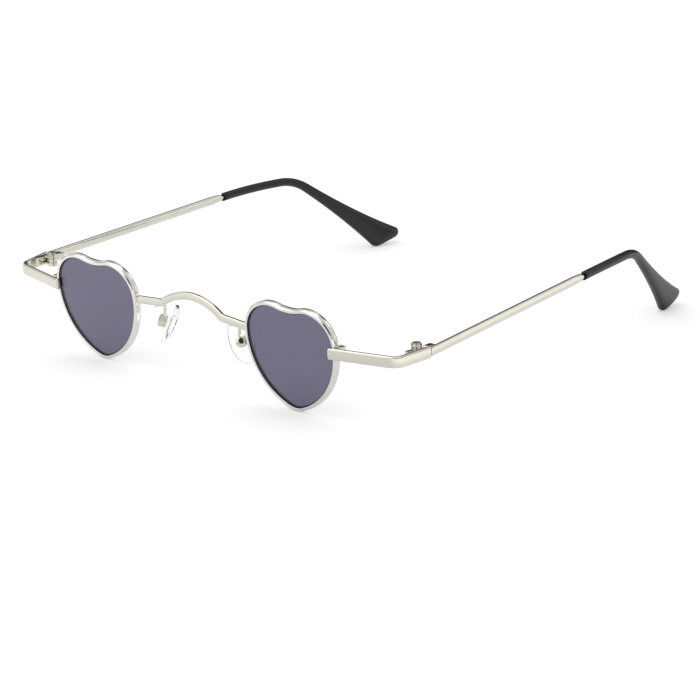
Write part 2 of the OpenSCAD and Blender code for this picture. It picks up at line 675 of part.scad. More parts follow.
// Depth and size of the small rounding at the sleeve's open end
lip = core_r/2;
lip_share = 0.86;
module temple_tip() {
    rings = concat(
        [sleeve_ring(sleeve_begin, -pitch, toe_in, lip_share)],
        [sleeve_ring(sleeve_begin + lip*heading(-pitch, toe_in), -pitch, toe_in, 1)],
        [for (i = [1:sleeve_steps]) sleeve_ring(sleeve_path[i], sleeve_angle(i), sleeve_toe(i), 1)],
        [for (i = [1:ear_steps]) ear_ring(i)],
        [for (i = [1:paddle_steps - 1]) widening_ring(i/paddle_steps)],
        cap_rings(cap_start));
    color(black) difference() {
        loft(rings);
        in_temple() translate([-bar_t/2, sleeve_start - over, 0]) rotate([-90, 0, 0])
            cylinder(h = over + core_len + lip, r = core_r + screw_gap, $fn = fine);
    }
}

bridge();
left() rim();  // left_rim
right() rim();  // right_rim
left() lens();  // left_lens
right() lens();  // right_lens
left() closing_block();  // left_closing_block
right() closing_block();  // right_closing_block
left() closing_screw();  // left_closing_screw
right() closing_screw();  // right_closing_screw
left() pad_arm();  // left_pad_arm
right() pad_arm();  // right_pad_arm
left() pad_box();  // left_pad_box
right() pad_box();  // right_pad_box
left() pad_screw();  // left_pad_screw
right() pad_screw();  // right_pad_screw
left() pad_insert();  // left_pad_insert
right() pad_insert();  // right_pad_insert
left() nose_pad();  // left_nose_pad
right() nose_pad();  // right_nose_pad
left() endpiece();  // left_endpiece
right() endpiece();  // right_endpiece
left() front_hinge_leaf();  // left_front_hinge_leaf
right() front_hinge_leaf();  // right_front_hinge_leaf
left() hinge_screw();  // left_hinge_screw
right() hinge_screw();  // right_hinge_screw
left() rear_hinge_leaf();  // left_rear_hinge_leaf
right() rear_hinge_leaf();  // right_rear_hinge_leaf
left() temple();  // left_temple
right() temple();  // right_temple
left() temple_tip();  // left_temple_tip
right() temple_tip();  // right_temple_tip
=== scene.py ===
# Looks of the small heart shaped sunglasses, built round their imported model.
# Sizes are in millimetres, the same as in the model, and turn to metres at the end.
import json
import math

import bmesh
import bpy
from mathutils import Matrix, Vector


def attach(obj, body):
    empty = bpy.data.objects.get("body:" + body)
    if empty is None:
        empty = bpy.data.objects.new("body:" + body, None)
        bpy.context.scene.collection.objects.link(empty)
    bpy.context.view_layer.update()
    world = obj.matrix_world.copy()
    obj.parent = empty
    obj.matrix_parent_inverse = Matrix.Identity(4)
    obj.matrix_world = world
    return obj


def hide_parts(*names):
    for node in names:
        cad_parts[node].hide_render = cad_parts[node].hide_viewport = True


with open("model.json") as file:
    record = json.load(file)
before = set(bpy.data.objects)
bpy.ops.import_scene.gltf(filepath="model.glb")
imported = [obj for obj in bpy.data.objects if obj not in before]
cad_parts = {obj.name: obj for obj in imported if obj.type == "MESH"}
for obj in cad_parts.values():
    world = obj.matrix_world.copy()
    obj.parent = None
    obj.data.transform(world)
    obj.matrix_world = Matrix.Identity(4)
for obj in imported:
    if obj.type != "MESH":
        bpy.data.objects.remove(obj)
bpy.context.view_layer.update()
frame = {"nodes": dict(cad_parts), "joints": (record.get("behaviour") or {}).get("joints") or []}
MM = 0.001

# Heart outline
LOBE_R = 8.3
LOBE_OFFSET = 6.05
POINT_R = 5.7
POINT_DROP = 13.5
SIDE_R = 19.4
NOTCH_R = 15.6

# Rims and lenses. The rim's face, bevel and wall are set in from its outer side
LENS_X = 35
RIM_W = 1.05
RIM_DEPTH = 2.1
GROOVE_DEPTH = 0.5
GROOVE_W = 0.8
LENS_T = 1.4
LENS_GAP = 0.04
LENS_GROUND = 0.2
LENS_TILT = 7.7
LENS_WRAP = 0.9
SPLIT_DROP = 0.3
SPLIT_GAP = 0.16
RIM_FACE_SET = 0.39
RIM_BEVEL_SET = 0.1
RIM_BEVEL_DEPTH = 0.29
RIM_BEVEL_R = 0.1
WALL_CREST = 0.04
WALL_CREST_DEPTH = 1.2
WALL_CREST_R = 2.4
WALL_BACK_SET = 0.16
WALL_BACK_R = 0.4
RIM_FRONT_R = 0.12
RIM_BACK_R = 0.14
GROOVE_LIP_R = 0.06
GROOVE_R = 0.05

# Bridge
BRIDGE_H = 2.05
BRIDGE_DEPTH = 1.4
BRIDGE_SETBACK = 0.3
ARCH_RISE = 4.7
ARCH_R = 17.4
ARCH_HALF_W = 10.7
STUB_RISE = 0.2
# The stubs end this far short of the lens openings, but for what is sunk into the rims
STUB_SHORT = 1.15
STUB_SUNK = 0.6
KINK_R = 1.7
BRIDGE_EDGE_R = 0.4

# Nose pads and their arms
PAD_LEN = 12.6
PAD_W = 6.6
PAD_T = 2.3
PAD_X = 14.2
PAD_Y = 4.8
PAD_DROP = 5.6
PAD_SPLAY = 40
PAD_RAKE = 20
PAD_CANT = 25
PAD_STANDOFF = 1.2
PAD_BACK_SHARE = 0.3
PAD_BACK_W = 0.82
PAD_EGG = 0.14
PAD_DOME = 86
BOX_R = 1.7
BOX_DOME = 28
ARM_R = 0.45
ARM_BEND_R = 1.2
ARM_ROOT_DROP = 0.2
ARM_SUNK = 0.15
# The solder's fillet at an arm's root: how far along the wire, and its radius there
ARM_FILLET = (-0.3, 0.75), (0.02, 0.72), (0.1, 0.62), (0.22, 0.54), (0.4, 0.48), (0.6, ARM_R)

# Endpieces
END_X = 48.8
END_PROUD = 1.25
FRONT_W = 140
END_T = 1.37
END_H = 3.1
END_DROP = 0.75
SWEEP = 13.5
SPLAY = 9
CORNER_R = 4
SIDE_LEN = 11.5
PITCH = 3.6
HINGE_OFFSET = 2.7
HINGE_AHEAD = 1.2
LEAF_DOME = 24
JOINT_GAP = 0.15
END_ROUND = 0.5
MITRE_ROUND = 0.12
BAR_EDGE_R = 0.42
CROWN = 11
CROWN_SHARE = 0.96
LEAST_R = 0.03

# Temples and tips
BAR_LEN = 63
NECK_LEN = 7
BAR_H = 2.43
BAR_T = 1.31
NECK_T = 1.1
NECK_EDGE_R = 0.5
NECK_CROWN = 1
NECK_IN_TIP = 4
SHOULDER_SHARE = 0.72
MITRE_LEN = 3
CORE_R = 0.6
TOE_IN = 2.5
SLEEVE_H = 2.5
SLEEVE_T = 2.2
SLEEVE_LEN = 23.7
SLEEVE_DROP = 1
SLEEVE_TOE_IN = 9.2
EAR_R = 18
EAR_DROP = 34
EAR_TOE_IN = 16
PADDLE_W = 9
PADDLE_T = 3.1
PADDLE_CUT = 52
PADDLE_LEAN = 11
PADDLE_ROUND = 2.8
PADDLE_TIP_R = 1.6
PADDLE_POWER = 0.66
UPPER_FLARE = 9.4
LOWER_FLARE = 9.6
PADDLE_END_SHARE = 0.975
MOUTH_DEPTH = 3
MOUTH_DIP = 0.7
MOUTH_SIDE = 1.8
# The rings of the mouth's round edge: how far in from the sleeve's skin, how far back
MOUTH_EDGE = (0.5, 0.4), (0.42, 0.1), (0.25, 0), (0.1, 0.06), (0, 0.25)
OVAL_SIDES = 48


def cosd(angle):
    return math.cos(math.radians(angle))


def sind(angle):
    return math.sin(math.radians(angle))


def turn(v, angle):
    """A flat vector turned anticlockwise."""
    return Vector((v[0]*cosd(angle) - v[1]*sind(angle), v[0]*sind(angle) + v[1]*cosd(angle)))


def angle_of(v):
    return math.degrees(math.atan2(v[1], v[0]))


def mix(a, b, share):
    return a + (b - a)*share


def spread(start, end, steps):
    """Steps + 1 values from start to end."""
    return [mix(start, end, i/steps) for i in range(steps + 1)]


def flat(v, height):
    return Vector((v[0], v[1], height))


# Places worked out from the sizes above
LENS_Z = (POINT_DROP + POINT_R + RIM_W)*cosd(LENS_TILT)
END_Z = LENS_Z - END_DROP
MITRE = (SPLAY - TOE_IN)/2
front_along, front_across = turn((1, 0), SWEEP), turn((0, 1), SWEEP)
side_along, side_across = turn((0, 1), -SPLAY), turn((-1, 0), -SPLAY)
mitre_along, mitre_across = turn((0, 1), -MITRE), turn((-1, 0), -MITRE)
end_start = Vector((END_X, -END_PROUD))
corner = end_start + (FRONT_W/2 - END_X - SIDE_LEN*sind(SPLAY))/cosd(SWEEP)*front_along
joint_out = corner + SIDE_LEN*side_along
joint_in = joint_out + END_T/cosd(SPLAY - MITRE)*mitre_across
hinge_y = (joint_in + HINGE_OFFSET/cosd(SPLAY - MITRE)*mitre_across - HINGE_AHEAD*mitre_along)[1]
joint_z = END_Z + (joint_out[1] + END_PROUD)*math.tan(math.radians(PITCH))
fold = next(joint for joint in frame["joints"] if joint["name"] == "left_temple_fold")
centre_y = hinge_y - fold["pos_m"][1]/MM


def moved(x, y, z):
    return Matrix.Translation((x, y, z))


def spun(angle, axis):
    return Matrix.Rotation(math.radians(angle), 4, axis)


in_rim = moved(LENS_X, 0, LENS_Z) @ spun(LENS_WRAP, "Z") @ spun(LENS_TILT, "X")
in_pad = (moved(PAD_X, PAD_Y, LENS_Z - PAD_DROP) @ spun(PAD_SPLAY, "Z") @ spun(-PAD_RAKE, "X")
          @ spun(-PAD_CANT, "Y"))
in_temple = moved(joint_out[0], joint_out[1], joint_z) @ spun(TOE_IN, "Z") @ spun(PITCH, "X")
at_end = moved(0, -END_PROUD, END_Z) @ spun(PITCH, "X") @ moved(0, END_PROUD, 0)


# Shapes: sections, outlines and the solids that they sweep
def rounded(corners, steps):
    """A closed outline with each corner (x, y, radius) rounded off."""
    points = []
    for i, (x, y, radius) in enumerate(corners):
        here = Vector((x, y))
        before = (Vector(corners[i - 1][:2]) - here).normalized()
        after = (Vector(corners[(i + 1) % len(corners)][:2]) - here).normalized()
        half = before.angle(after)/2
        centre = here + (before + after).normalized()*radius/math.sin(half)
        start = angle_of(here + before*radius/math.tan(half) - centre)
        sweep = (angle_of(here + after*radius/math.tan(half) - centre) - start + 180) % 360 - 180
        points += [centre + radius*turn((1, 0), a) for a in spread(start, start + sweep, steps)]
    return points


def bar_section(thick, high, radius, inset=0, crown=CROWN):
    """A bar's section, across and up, drawn in by an inset. Its two wide faces are crowned, as
    polishing leaves them, and lean back by the crown's angle where they meet the round edges."""
    x, y, r = thick/2 - inset, high/2 - inset, max(radius - inset, LEAST_R)
    lean = math.tan(math.radians(crown))
    # The crown's arc ends a little before the round edges begin
    face_r = CROWN_SHARE*(y/cosd(crown) - r/math.tan(math.radians(45 + crown/2)))/lean
    x += face_r*(1/cosd(crown) - 1)
    edge = x - y*lean
    half = [(edge, -y, r), (x, 0, face_r), (edge, y, r)]
    return rounded(half + [(-u, -v, radius) for u, v, radius in half], steps=8)


def skin(rings):
    """A closed solid over rings of equally many points, capped at both ends."""
    mesh = bmesh.new()
    grid = [[mesh.verts.new(point) for point in ring] for ring in rings]
    around = len(rings[0])
    for near, far in zip(grid, grid[1:]):
        for i in range(around):
            j = (i + 1) % around
            mesh.faces.new((near[i], near[j], far[j], far[i]))
    caps = [mesh.faces.new(grid[0]), mesh.faces.new(grid[-1])]
    bmesh.ops.triangulate(mesh, faces=caps)
    bmesh.ops.recalc_face_normals(mesh, faces=mesh.faces)
    return mesh


def slid(point, along, on_plane, normal):
    """The point moved along a direction until it lies on a plane."""
    return point + along*((on_plane - point).dot(normal)/along.dot(normal))


def edge_round(radius, steps):
    """Setback and inset of each ring over a rounded end, from the end inwards."""
    return [(radius*(1 - sind(a)), radius*(1 - cosd(a))) for a in spread(90, 0, steps)]


# The heart is a chain of arcs. Each station keeps its arc's centre and radius, so that one
# station serves every offset of the outline.
lobe_c, point_c = Vector((LOBE_OFFSET, 0)), Vector((0, -POINT_DROP))
notch_c = Vector((0, math.sqrt((LOBE_R + NOTCH_R)**2 - LOBE_OFFSET**2)))
between = (lobe_c - point_c).length
side_near = ((SIDE_R - LOBE_R)**2 - (SIDE_R - POINT_R)**2 + between**2)/(2*between)
side_dir = (point_c - lobe_c)/between
side_c = (lobe_c + side_near*side_dir
          + math.sqrt((SIDE_R - LOBE_R)**2 - side_near**2)*turn(side_dir, -90))
notch_end, lobe_end = angle_of(lobe_c - notch_c), angle_of(lobe_c - side_c)
point_end = angle_of(point_c - side_c)
split_at = math.degrees(math.asin((-SPLIT_DROP - side_c[1])/(SIDE_R + RIM_W/2)))
split_half = math.degrees(SPLIT_GAP/2/(SIDE_R + RIM_W/2))


def arc_stations(centre, radius, growth, start, end, steps):
    return [(centre, radius, growth, a) for a in spread(start, end, steps)[:-1]]


lobe_half = (arc_stations(notch_c, NOTCH_R, -1, -90, notch_end, 10)
             + arc_stations(lobe_c, LOBE_R, 1, notch_end + 180, lobe_end, 44))
side_half = (arc_stations(side_c, SIDE_R, 1, split_at - split_half, point_end, 28)
             + arc_stations(point_c, POINT_R, 1, point_end, -90, 10))
split_top = [(side_c, SIDE_R, 1, a) for a in (lobe_end, split_at + split_half)]
heart_low = [(point_c, POINT_R, 1, -90)]


def mirrored(stations):
    return [(Vector((-c[0], c[1])), r, growth, 180 - a) for c, r, growth, a in reversed(stations)]


# From the split, down to the point, up the far side, over both lobes and back to the split
heart_round = (side_half + heart_low
               + mirrored(lobe_half + split_top[:1] + side_half)[:-1] + lobe_half + split_top)


def heart_point(station, offset):
    centre, radius, growth, angle = station
    return centre + (radius + growth*offset)*turn((1, 0), angle)


def heart_ring(station, section):
    """A section of (offset, depth) points set across the outline at one station."""
    ring = []
    for offset, depth in section:
        x, z = heart_point(station, offset)
        ring.append(in_rim @ Vector((x, depth, z)))
    return ring


def rim_wire():
    """A drawn wire: a flat front with a soft bevel, a crowned outer wall, an inner groove."""
    lip = (RIM_DEPTH - GROOVE_W)/2
    # Each corner: offset from the lens opening, depth from the front, radius
    section = rounded([
        (0, 0, RIM_FRONT_R), (RIM_W - RIM_FACE_SET, 0, RIM_BEVEL_R),
        (RIM_W - RIM_BEVEL_SET, RIM_BEVEL_DEPTH, RIM_BEVEL_R),
        (RIM_W + WALL_CREST, WALL_CREST_DEPTH, WALL_CREST_R),
        (RIM_W - WALL_BACK_SET, RIM_DEPTH, WALL_BACK_R), (0, RIM_DEPTH, RIM_BACK_R),
        (0, RIM_DEPTH - lip, GROOVE_LIP_R), (GROOVE_DEPTH, RIM_DEPTH - lip, GROOVE_R),
        (GROOVE_DEPTH, lip, GROOVE_R), (0, lip, GROOVE_LIP_R)], steps=4)
    return skin([heart_ring(station, section) for station in heart_round])


def lens_disc():
    """A flat lens: two faces, a ground bevel round each, and a flange that fills the groove."""
    front, back = (RIM_DEPTH - LENS_T)/2, (RIM_DEPTH + LENS_T)/2
    flange = GROOVE_W/2 - LENS_GAP
    edge, rim_side = -LENS_GAP, GROOVE_DEPTH - LENS_GAP
    section = [(edge - LENS_GROUND, front), (edge, front + LENS_GROUND),
               (edge, RIM_DEPTH/2 - flange), (rim_side, RIM_DEPTH/2 - flange),
               (rim_side, RIM_DEPTH/2 + flange), (edge, RIM_DEPTH/2 + flange),
               (edge, back - LENS_GROUND), (edge - LENS_GROUND, back)]
    stations = (lobe_half + split_top[:1] + side_half + heart_low
                + mirrored(lobe_half + split_top[:1] + side_half)[:-1])
    rings = [[in_rim @ Vector((*heart_point(s, offset), depth)).xzy for s in stations]
             for offset, depth in section]
    mesh = skin(rings)
    # All faces between the first and the last ring are the ground edge, which takes the
    # near-black painted shade
    for face in list(mesh.faces)[:len(stations)*(len(rings) - 1)]:
        face.material_index = 1
    return mesh


def bridge_bar():
    """One flat bar: two stubs, sunk into the rims, and the arch, with soft bends between."""
    arch_z = LENS_Z + ARCH_RISE - ARCH_R
    arch_c = Vector((0, arch_z))
    lean = math.degrees(math.asin(ARCH_HALF_W/ARCH_R))
    start = Vector((ARCH_HALF_W, arch_z + ARCH_R*cosd(lean)))
    end = Vector((LENS_X - LOBE_OFFSET - LOBE_R, LENS_Z + STUB_RISE))
    along = (end - start).normalized()
    lean_stub = angle_of(along)
    above = turn(along, 90)
    # The bend's centre lies above the stub, and outside the arch by the bend's radius
    base = start + KINK_R*above - arch_c
    reach = -base.dot(along) + math.sqrt(
        base.dot(along)**2 - base.length_squared + (ARCH_R + KINK_R)**2)
    bend_c = arch_c + base + reach*along
    bend_from = angle_of(arch_c - bend_c)
    stops = [(arch_c + ARCH_R*turn((1, 0), a), a)
             for a in spread(90, bend_from + 180, steps=26)]
    stops += [(bend_c + KINK_R*turn((1, 0), a), a + 180)
              for a in spread(bend_from % 360, lean_stub + 270, steps=10)[1:]]
    stops += [(end + along*(STUB_SUNK - STUB_SHORT), lean_stub + 90)]
    section = [(v, u) for u, v in bar_section(BRIDGE_DEPTH, BRIDGE_H, BRIDGE_EDGE_R)]
    depth = BRIDGE_SETBACK + BRIDGE_DEPTH/2
    rings = []
    for (x, z), up in stops:
        normal = turn((1, 0), up)
        rings.append([Vector((x + u*normal[0], depth + v, z + u*normal[1])) for u, v in section])
    far_half = [[Vector((-p[0], p[1], p[2])) for p in ring] for ring in reversed(rings[1:])]
    return skin(far_half + rings)


def endpiece_bar():
    """A flat bar, rounded at its free end, bent round the corner and mitred at the joint."""
    middle = END_T/2
    bend_c = corner + CORNER_R*(front_across + side_across)/(1 + front_across.dot(side_across))
    bend = [(bend_c - (CORNER_R - middle)*turn(front_across, a), turn(front_across, a))
            for a in spread(0, angle_of(side_across) - angle_of(front_across), steps=16)]
    rings = []

    def ring(point, across, inset):
        return [at_end @ flat(point + u*across, v)
                for u, v in bar_section(END_T, END_H, BAR_EDGE_R, inset)]

    for back, inset in edge_round(END_ROUND, steps=5):
        rings.append(ring(end_start + middle*front_across + back*front_along, front_across,
                          inset))
    rings += [ring(point, across, 0) for point, across in bend]
    last = joint_out + middle*side_across
    normal = at_end.to_3x3() @ flat(mitre_along, 0)
    for back, inset in reversed(edge_round(MITRE_ROUND, steps=3)):
        plane = at_end @ flat(joint_out - back*mitre_along, 0)
        rings.append([slid(p, at_end.to_3x3() @ flat(side_along, 0), plane, normal)
                      for p in ring(last, side_across, inset)])
    return skin(rings)


def temple_bar():
    """A flat bar, mitred at the joint, drawn down to a round neck that runs into the tip."""
    rings = []

    def ring(y, thick=BAR_T, high=BAR_H, radius=BAR_EDGE_R, inset=0, crown=CROWN):
        return [in_temple @ Vector((u - BAR_T/2, y, v))
                for u, v in bar_section(thick, high, radius, inset, crown)]

    along = in_temple.to_3x3() @ Vector((0, 1, 0))
    normal = flat(mitre_along, 0)
    for back, inset in edge_round(MITRE_ROUND, steps=3):
        plane = flat(joint_out + (JOINT_GAP + back)*mitre_along, joint_z)
        rings.append([slid(p, along, plane, normal) for p in ring(0, inset=inset)])
    shoulder = SHOULDER_SHARE*NECK_LEN
    sleeve_start = BAR_LEN + NECK_LEN
    rings += [ring(y) for y in spread(MITRE_LEN, sleeve_start - shoulder, steps=12)]
    for share in spread(0, 1, steps=12)[1:]:
        # A quarter of an ellipse: full height at first, then quickly down to the neck
        drop = 1 - math.sqrt(max(0, 1 - share**2))
        rings.append(ring(
            sleeve_start - shoulder*(1 - share), mix(BAR_T, NECK_T, drop),
            mix(BAR_H, NECK_T, drop), mix(BAR_EDGE_R, NECK_EDGE_R, drop),
            crown=mix(CROWN, NECK_CROWN, drop)))
    rings.append(ring(sleeve_start + NECK_IN_TIP, NECK_T, NECK_T, NECK_EDGE_R,
                      crown=NECK_CROWN))
    return skin(rings)


def heading(drop, toe):
    return Vector((-sind(toe)*cosd(drop), cosd(toe)*cosd(drop), -sind(drop)))


def upright(drop, toe):
    return Vector((-sind(toe)*sind(drop), cosd(toe)*sind(drop), cosd(drop)))


def walk(start, length, drops, toes, steps):
    """Points along a gently turning path, each with its distance, drop and toe-in."""
    point, stops = start.copy(), [(start.copy(), 0, drops[0], toes[0])]
    for i in range(steps):
        share = (i + 0.5)/steps
        point += length/steps*heading(mix(*drops, share), mix(*toes, share))
        share = (i + 1)/steps
        stops.append((point.copy(), length*share, mix(*drops, share), mix(*toes, share)))
    return stops


def leaning(drop, toe, lean):
    """The paddle's up and side directions, turned about its length."""
    up, side = upright(drop, toe), Vector((cosd(toe), sind(toe), 0))
    return cosd(lean)*up + sind(lean)*side, cosd(lean)*side - sind(lean)*up


def oval(centre, half_up, side, thick, power):
    """A ring that is an ellipse at power 1 and squarer below it."""
    points = []
    for i in range(OVAL_SIDES):
        angle = i*360/OVAL_SIDES
        u, v = (math.copysign(abs(w)**power, w) for w in (cosd(angle), sind(angle)))
        points.append(centre + thick/2*u*side + v*half_up)
    return points


def smooth(share):
    return share*share*(3 - 2*share)


def temple_tip():
    """A moulded tip: an open sleeve, the bend over the ear, and the flared, leaning paddle."""
    begin = in_temple @ Vector((-BAR_T/2, BAR_LEN + NECK_LEN, 0))
    sleeve = walk(begin, SLEEVE_LEN, (-PITCH, SLEEVE_DROP), (TOE_IN, SLEEVE_TOE_IN), steps=24)
    ear_len = math.radians(EAR_DROP - SLEEVE_DROP)*EAR_R
    ear = walk(sleeve[-1][0], ear_len, (SLEEVE_DROP, EAR_DROP), (SLEEVE_TOE_IN, EAR_TOE_IN),
               steps=20)
    ear_end = ear[-1][0]
    out = heading(EAR_DROP, EAR_TOE_IN)

    # The paddle's plan in its own plane: two corner circles, joined by the end edge
    low_c = Vector((0, PADDLE_ROUND - PADDLE_W/2))
    span = (PADDLE_W - PADDLE_ROUND - PADDLE_TIP_R)/cosd(PADDLE_CUT)
    high_c = low_c + span*Vector((sind(PADDLE_CUT), cosd(PADDLE_CUT)))
    facing = math.degrees(math.asin((PADDLE_ROUND - PADDLE_TIP_R)/span)) - PADDLE_CUT

    def high_corner(share):
        return high_c + PADDLE_TIP_R*turn((1, 0), mix(90 + UPPER_FLARE, facing, share))

    def low_corner(share):
        return low_c + PADDLE_ROUND*turn((1, 0), mix(-90 - LOWER_FLARE, facing, share))

    def across(start, high, low, lean, thick, power):
        """A ring between an upper and a lower point of the plan."""
        up, side = leaning(EAR_DROP, EAR_TOE_IN, lean)
        middle, half = (high + low)/2, (high - low)/2
        return oval(start + middle[0]*out + middle[1]*up, half[0]*out + half[1]*up, side,
                    thick, power)

    def end_rings(start, steps):
        # Steps bunch up towards the end edge, where the thickness is rounded off
        return [across(start, high_corner(s), low_corner(s), PADDLE_LEAN,
                       PADDLE_T*math.sqrt(cosd(90*s)), PADDLE_POWER)
                for s in (PADDLE_END_SHARE*sind(90*i/steps) for i in range(steps + 1))]

    low = min(p[2] for ring in end_rings(Vector((0, 0, 0)), steps=14) for p in ring)
    paddle_len = (ear_end[2] + low)/sind(EAR_DROP)
    high_reach = ear_len + paddle_len + high_corner(0)[0]
    low_reach = ear_len + paddle_len + low_corner(0)[0]
    widen_len = (high_reach + low_reach)/2

    def edge(d, reach, start, end, flare):
        s = d/reach
        return mix(start, end, smooth(s)) + math.tan(math.radians(flare))*reach*(s**3 - s*s)

    def high_edge(d):
        return edge(d, high_reach, SLEEVE_H/2, high_corner(0)[1], UPPER_FLARE)

    def low_edge(d):
        return edge(d, low_reach, -SLEEVE_H/2, low_corner(0)[1], -LOWER_FLARE)

    def shape(d):
        share = d/widen_len
        return PADDLE_LEAN*share, mix(SLEEVE_T, PADDLE_T, share), mix(1, PADDLE_POWER, share)

    # The mouth is cut like a fish's: deeper at the sides, where the neck shows
    ahead, lip = heading(-PITCH, TOE_IN), upright(-PITCH, TOE_IN)
    side = Vector((cosd(TOE_IN), sind(TOE_IN), 0))
    rings = [oval(begin + MOUTH_DEPTH*ahead, CORE_R*lip, side, 2*CORE_R, 1)]
    for inset, back in MOUTH_EDGE:
        ring = oval(begin + back*ahead, (SLEEVE_H/2 - inset)*lip, side,
                    SLEEVE_T - MOUTH_SIDE*inset, 1)
        rings.append([p + MOUTH_DIP*cosd(i*360/len(ring))**2*ahead for i, p in enumerate(ring)])
    rings += [oval(p, SLEEVE_H/2*upright(drop, toe), leaning(drop, toe, 0)[1], SLEEVE_T, 1)
              for p, d, drop, toe in sleeve[2:]]
    for p, d, drop, toe in ear[1:]:
        lean, thick, power = shape(d)
        up, side = leaning(drop, toe, lean)
        high, low = high_edge(d), low_edge(d)
        rings.append(oval(p + (high + low)/2*up, (high - low)/2*up, side, thick, power))
    for s in spread(0, 1, steps=30)[1:-1]:
        d = mix(ear_len, widen_len, s)
        high_d = d + (high_reach - widen_len)*smooth(s)
        low_d = d + (low_reach - widen_len)*smooth(s)
        rings.append(across(ear_end, Vector((high_d - ear_len, high_edge(high_d))),
                            Vector((low_d - ear_len, low_edge(low_d))), *shape(d)))
    return skin(rings + end_rings(ear_end + paddle_len*out, steps=14))


def pad_arm_wire():
    """A round wire, soldered to the back of the bridge and bent down onto the pad's box."""
    root = Vector((PAD_X - BOX_R*sind(PAD_CANT), BRIDGE_SETBACK + BRIDGE_DEPTH,
                   LENS_Z - ARM_ROOT_DROP))
    reach = PAD_Y - root[1] - ARM_BEND_R
    hang = root[2] - ARM_BEND_R - (LENS_Z - PAD_DROP) - BOX_R*cosd(PAD_CANT)/2 + ARM_SUNK
    stops = [(root + Vector((0, y, 0)), 0, r) for y, r in (*ARM_FILLET, (reach, ARM_R))]
    pivot = root + Vector((0, reach, -ARM_BEND_R))
    stops += [(pivot + ARM_BEND_R*Vector((0, sind(a), cosd(a))), a, ARM_R)
              for a in spread(0, 90, steps=10)[1:]]
    stops.append((pivot + Vector((0, ARM_BEND_R, -hang)), 90, ARM_R))
    return skin([[p + r*(cosd(t)*Vector((1, 0, 0)) + sind(t)*Vector((0, sind(a), cosd(a))))
                  for t in spread(0, 360, steps=24)[:-1]] for p, a, r in stops])


def nose_pad():
    """A smooth egg of clear silicone, flat behind and crowned towards the nose."""
    # Each ring: its share of the pad's thickness, and of its size
    shares = [(0, 0.5)]
    shares += [(PAD_BACK_SHARE - PAD_BACK_SHARE*sind(a), mix(PAD_BACK_W, 1, cosd(a)))
               for a in spread(90, 0, steps=12)]
    shares += [(mix(PAD_BACK_SHARE, 1, sind(a)), cosd(a))
               for a in spread(0, PAD_DOME, steps=24)[1:]]
    return skin([[in_pad @ Vector((
        PAD_W/2*size*cosd(t)*(1 - PAD_EGG*sind(t)), PAD_STANDOFF + PAD_T*rise,
        PAD_LEN/2*size*sind(t))) for t in spread(0, 360, steps=56)[:-1]]
        for rise, size in shares])


# Materials
CLEAR = {"Transmission Weight": 1}
PATCH_SPAN = 0.3, 0.7  # a noise pattern's values lie between about these


def colour(code):
    """An sRGB hex colour as linear values."""
    shares = [int(code[i:i + 2], 16)/255 for i in (1, 3, 5)]
    return (*[s/12.92 if s <= 0.04045 else ((s + 0.055)/1.055)**2.4 for s in shares], 1)


def add(tree, kind, sockets=None, **settings):
    """Adds a node. A socket given another node's output is linked, and else takes the value."""
    made = tree.nodes.new("ShaderNode" + kind)
    for key, value in settings.items():
        setattr(made, key, value)
    for key, value in (sockets or {}).items():
        if isinstance(value, bpy.types.NodeSocket):
            tree.links.new(value, made.inputs[key])
        else:
            made.inputs[key].default_value = value
    return made


def finish(name, tones, gloss, grains, heights, **settings):
    """A finish in soft patches: two tones, a span of roughness, and a relief in layers. The
    grains are the patch size in mm and the detail of the tones, of the roughness and of each
    layer of the relief, and the heights are those of its layers, in mm."""
    material = bpy.data.materials.new(name)
    material.use_nodes = True
    tree = material.node_tree
    tree.nodes.clear()
    place = add(tree, "TexCoord").outputs["Object"]
    tone, shine, *layers = [
        add(tree, "TexNoise", {"Vector": place, "Scale": 1/(size*MM), "Detail": detail,
                               "Roughness": 0.5}).outputs["Fac"] for size, detail in grains]
    ramp = add(tree, "ValToRGB", {"Fac": tone})
    for stop, at, code in zip(ramp.color_ramp.elements, PATCH_SPAN, tones):
        stop.position, stop.color = at, colour(code)
    shine = add(tree, "MapRange", {"Value": shine, "From Min": PATCH_SPAN[0],
                                   "From Max": PATCH_SPAN[1], "To Min": gloss[0],
                                   "To Max": gloss[1]})
    looks = {"Base Color": ramp.outputs["Color"], "Roughness": shine.outputs["Result"]}
    relief = {}
    for layer, height in zip(layers, heights):
        bump = add(tree, "Bump", {"Height": layer, "Strength": 1, "Distance": height*MM,
                                  **relief})
        relief = {"Normal": bump.outputs["Normal"]}
    shader = add(tree, "BsdfPrincipled", {**looks, **relief, **settings})
    add(tree, "OutputMaterial", {"Surface": shader.outputs["BSDF"]})
    return material


# Polished nickel plate on the strip: mirror bright and a little warm, with the slight waviness
# that hand polishing leaves and a faint haze of fine scratches
polish = {"gloss": (0.07, 0.13), "grains": ((6, 2), (0.6, 4), (3.5, 1), (0.15, 3)),
          "heights": (0.012, 0.0004), "Metallic": 1}
nickel = finish("polished_nickel_plate", ("#E6E3D5", "#EBE8DC"), **polish)
# The same polish on the rims' wire, in a whiter plate
white_nickel = finish("polished_white_nickel_plate", ("#F1F0EB", "#F8F7F4"), **polish)
# Turned and plated steel screws: cooler and a little duller than the polished strip, from the
# fine marks that the lathe leaves
steel = finish("turned_plated_steel", ("#CFCDC8", "#DDDBD6"), (0.16, 0.26),
               ((0.8, 2), (0.2, 3), (0.12, 3)), (0.001,), Metallic=1)
# Dyed polycarbonate lens: an even violet smoke tint right through, polished flat, with the
# faintest ripple from moulding
smoke = finish("smoke_tinted_polycarbonate", ("#646077", "#666279"), (0.01, 0.03),
               ((9, 2), (2, 2), (7, 1)), (0.002,), IOR=1.58, **CLEAR)
